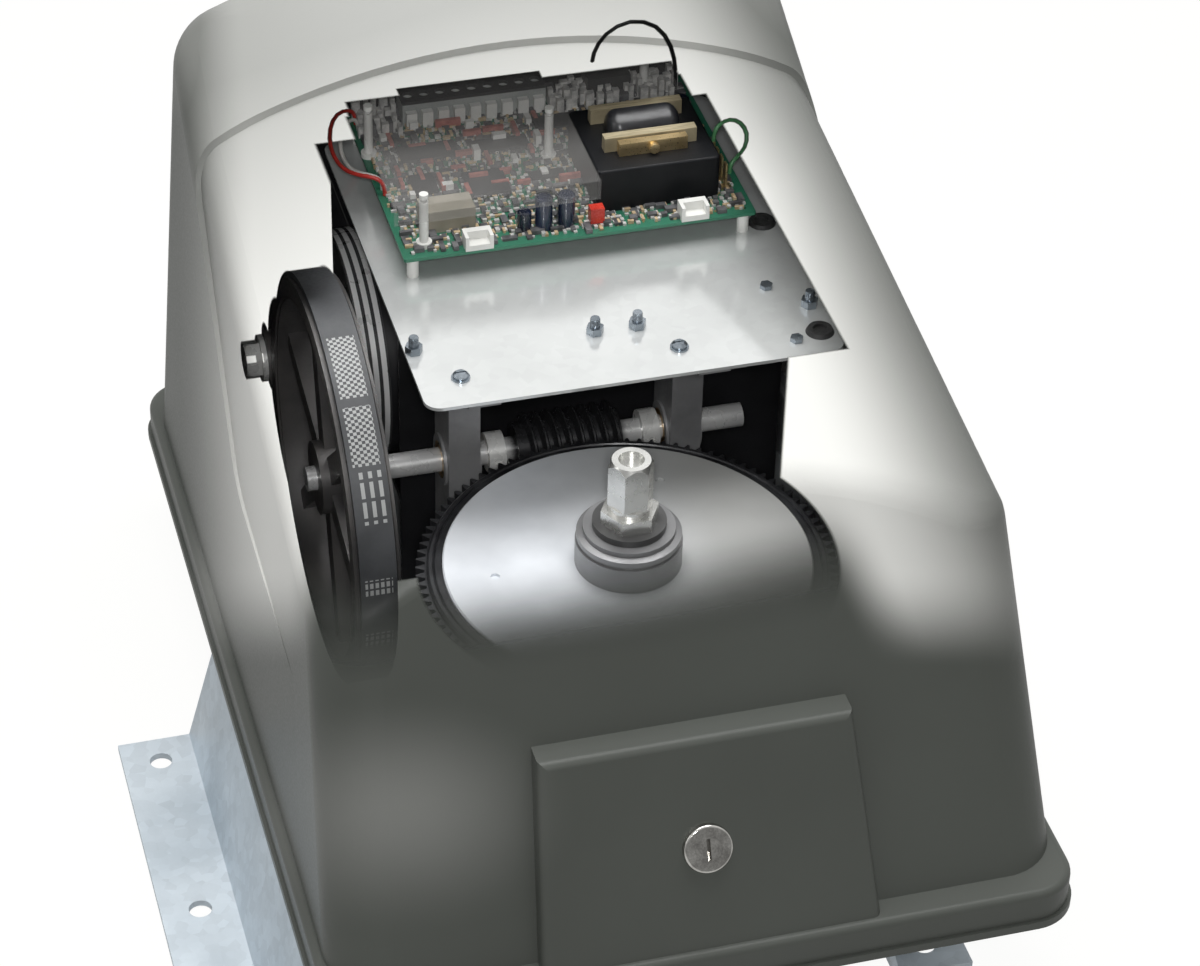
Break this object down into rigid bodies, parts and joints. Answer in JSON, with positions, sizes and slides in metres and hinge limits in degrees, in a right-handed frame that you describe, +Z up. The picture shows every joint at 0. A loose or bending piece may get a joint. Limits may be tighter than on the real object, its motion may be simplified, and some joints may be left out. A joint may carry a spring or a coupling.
{
  "type": "swing gate operator",
  "caption": "Swing gate operator: belt-driven worm gear and control board on an anchor base, under a lockable moulded cover, with an output shaft below.",
  "frame": {"origin": "centre of the anchor hole pattern, on the ground face of the mounting base", "axes": "+X to the right when facing the lock panel, +Y to the rear, +Z up along the output shaft"},
  "size_m": [0.4675, 0.562, 0.4045],
  "materials": {
    "galvanized_sheet": "galvanized sheet, faint spangle",
    "zinc_plate": "zinc plated, satin",
    "zinc_fastener": "bright zinc plated",
    "grey_iron": "machined grey iron",
    "bronze": "machined bronze",
    "black_paint": "black paint, satin",
    "motor_aluminium": "die cast",
    "copper_winding": "lacquered copper wire",
    "belt_rubber": "moulded rubber, matte",
    "pulley_charcoal": "charcoal coating, satin",
    "machined_steel": "turned steel",
    "lamination_steel": "stacked sheet",
    "black_rubber": "matte",
    "circuit_green": "solder resist",
    "white_nylon": "moulded nylon",
    "clear_plastic": "clear sheet",
    "black_plastic": "moulded",
    "terminal_green": "moulded",
    "capacitor_sleeve": "shrunk sleeve",
    "fuse_red": "moulded",
    "brass": "stamped brass",
    "red_wire": "wire insulation",
    "white_wire": "wire insulation",
    "black_wire": "wire insulation",
    "green_wire": "wire insulation",
    "cover_plastic": "fine moulded texture, grey-green",
    "lock_chrome": "plated",
    "lock_steel": "zinc plated"
  },
  "bodies": {
    "chassis": {"mounting_base": "galvanized_sheet", "chassis_plate": "zinc_plate", "chassis_bolts": "zinc_fastener", "side_rail_left": "zinc_plate", "side_rail_right": "zinc_plate", "output_bearing": "grey_iron", "bearing_bar_left": "grey_iron", "bearing_bar_right": "grey_iron", "shaft_bush_left": "bronze", "shaft_bush_right": "bronze", "motor_enclosure": "black_paint", "motor_can": "black_paint", "motor_stator": "copper_winding", "motor_end_pulley_side": "motor_aluminium", "motor_end_far_side": "motor_aluminium", "motor_cradle": "black_paint", "drive_belt": "belt_rubber", "electronics_plate": "galvanized_sheet", "plate_screws": "zinc_fastener", "plate_studs": "zinc_fastener", "plate_nuts": "zinc_fastener", "plate_grommets": "black_rubber", "circuit_board": "circuit_green", "board_standoffs": "white_nylon", "board_cover": "clear_plastic", "cover_posts": "white_nylon", "transformer_case": "black_plastic", "transformer_core": "lamination_steel", "transformer_winding": "copper_winding", "transformer_clip": "brass", "terminal_strip": "terminal_green", "board_chips": "black_plastic", "board_relays": "black_plastic", "board_capacitors": "capacitor_sleeve", "board_connectors": "white_nylon", "board_fuse": "fuse_red", "brass_terminals": "brass", "red_lead": "red_wire", "white_lead": "white_wire", "black_lead": "black_wire", "green_lead": "green_wire"},
    "output": {"worm_wheel": "bronze", "wheel_disc": "machined_steel", "hub_collar": "machined_steel", "hub_washer": "zinc_fastener", "hub_bolt": "zinc_fastener", "output_shaft": "machined_steel"},
    "worm": {"worm_shaft": "machined_steel", "drive_pulley": "pulley_charcoal", "shaft_collars": "machined_steel"},
    "armature": {"motor_shaft": "machined_steel", "motor_rotor": "lamination_steel", "motor_pulley": "pulley_charcoal", "pulley_washer": "zinc_fastener", "pulley_bolt": "zinc_fastener"},
    "cover": {"cover_shell": "cover_plastic", "lock_housing": "lock_chrome"},
    "lock": {"lock_plug": "lock_chrome", "lock_cam": "lock_steel"}
  },
  "joints": [
    {"name": "output_turn", "type": "hinge", "parent": "chassis", "child": "output", "pos_m": [0.053, 0.008, 0], "axis": [0, 0, 1], "range_deg": [0, 110]},
    {"name": "worm_spin", "type": "hinge", "parent": "chassis", "child": "worm", "pos_m": [0.053, 0.1372, 0.185], "axis": [1, 0, 0], "range_deg": [0, 11221.02]},
    {"name": "armature_spin", "type": "hinge", "parent": "chassis", "child": "armature", "pos_m": [0, 0.276, 0.17], "axis": [1, 0, 0], "range_deg": [0, 69765.47]},
    {"name": "cover_lift", "type": "slide", "parent": "chassis", "child": "cover", "axis": [0, 0, 1], "range_m": [0, 0.4]},
    {"name": "lock_turn", "type": "hinge", "parent": "cover", "child": "lock", "pos_m": [0.05, -0.15714, 0.141], "axis": [0, -0.9191, 0.3939], "range_deg": [0, 90]}
  ],
  "couplings": [
    {"joint": "worm_spin", "follows": "output_turn", "ratio": 102},
    {"joint": "armature_spin", "follows": "output_turn", "ratio": 634.17}
  ]
}
